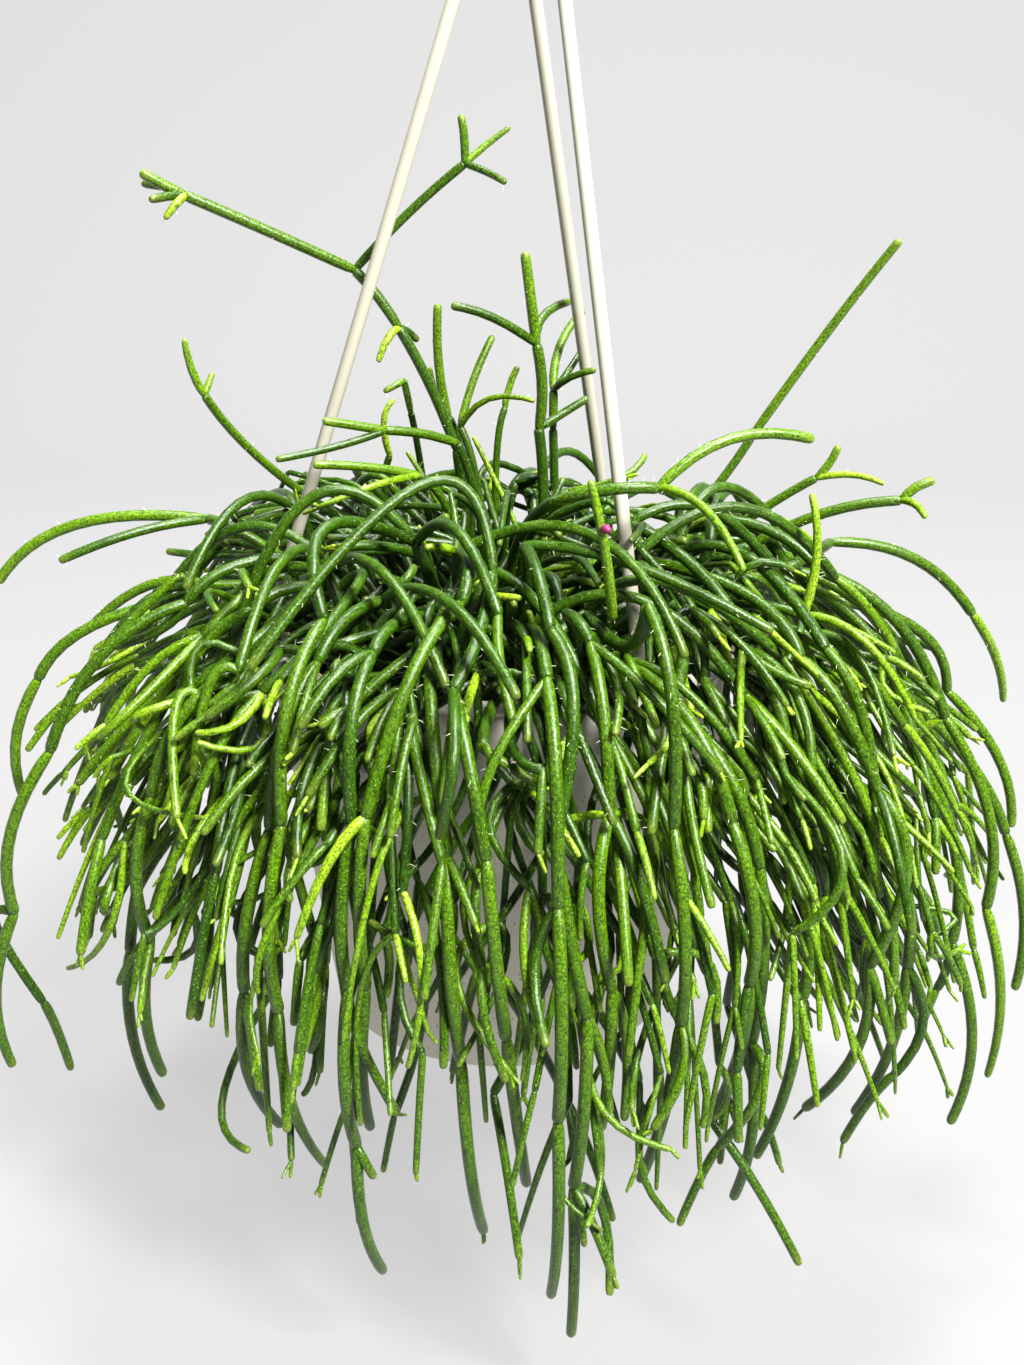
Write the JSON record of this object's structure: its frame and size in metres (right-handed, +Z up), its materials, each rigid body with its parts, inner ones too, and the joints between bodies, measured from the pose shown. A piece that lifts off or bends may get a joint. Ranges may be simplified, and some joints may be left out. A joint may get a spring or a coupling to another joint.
{
  "type": "potted mistletoe cactus",
  "caption": "Mistletoe cactus with jointed green stems that arch and trail over a tapered hanging pot, whose straight straps meet under a hook.",
  "frame": {"origin": "centre of the pot's flat underside", "axes": "+Z up from the underside to the hook; the picture looks along +Y"},
  "size_m": [0.3333, 0.2716, 0.4458],
  "materials": {
    "pot_plastic": "matte, with fine dark specks",
    "potting_mix": "rough and dark",
    "strap_plastic": "smooth satin",
    "stem": "waxy gloss, paler towards the tips"
  },
  "bodies": {
    "root": {"pot": "pot_plastic", "soil": "potting_mix", "hanger_arm_left": "strap_plastic", "hanger_arm_front": "strap_plastic", "hanger_arm_back": "strap_plastic", "hanger_hook": "strap_plastic", "spray_centre_twin": "stem", "spray_centre_upright": "stem", "spray_cluster_a": "stem", "spray_cluster_b": "stem", "spray_cluster_c": "stem", "spray_cluster_d": "stem", "spray_cluster_e": "stem", "spray_left_flat": "stem", "spray_left_low": "stem", "spray_left_sprig": "stem", "spray_lime_front": "stem", "spray_lime_right": "stem", "spray_right_arch": "stem", "spray_right_far": "stem", "spray_right_fork": "stem", "spray_right_long": "stem", "spray_right_short": "stem", "spray_tall_left": "stem", "spray_trail_01": "stem", "spray_trail_02": "stem", "spray_trail_03": "stem", "spray_trail_04": "stem", "spray_trail_05": "stem", "spray_trail_06": "stem", "spray_trail_07": "stem", "spray_trail_08": "stem", "spray_trail_09": "stem", "spray_trail_10": "stem", "spray_trail_11": "stem", "spray_trail_12": "stem", "spray_trail_13": "stem", "spray_trail_14": "stem", "spray_trail_15": "stem", "spray_trail_16": "stem", "spray_trail_17": "stem", "spray_trail_18": "stem", "spray_trail_19": "stem", "spray_trail_20": "stem", "spray_trail_21": "stem", "spray_trail_22": "stem", "spray_trail_23": "stem", "spray_trail_24": "stem", "spray_trail_25": "stem", "spray_trail_26": "stem", "spray_trail_27": "stem", "spray_trail_28": "stem", "spray_trail_29": "stem", "spray_trail_30": "stem", "spray_trail_31": "stem", "spray_trail_32": "stem", "spray_trail_33": "stem"}
  },
  "joints": []
}
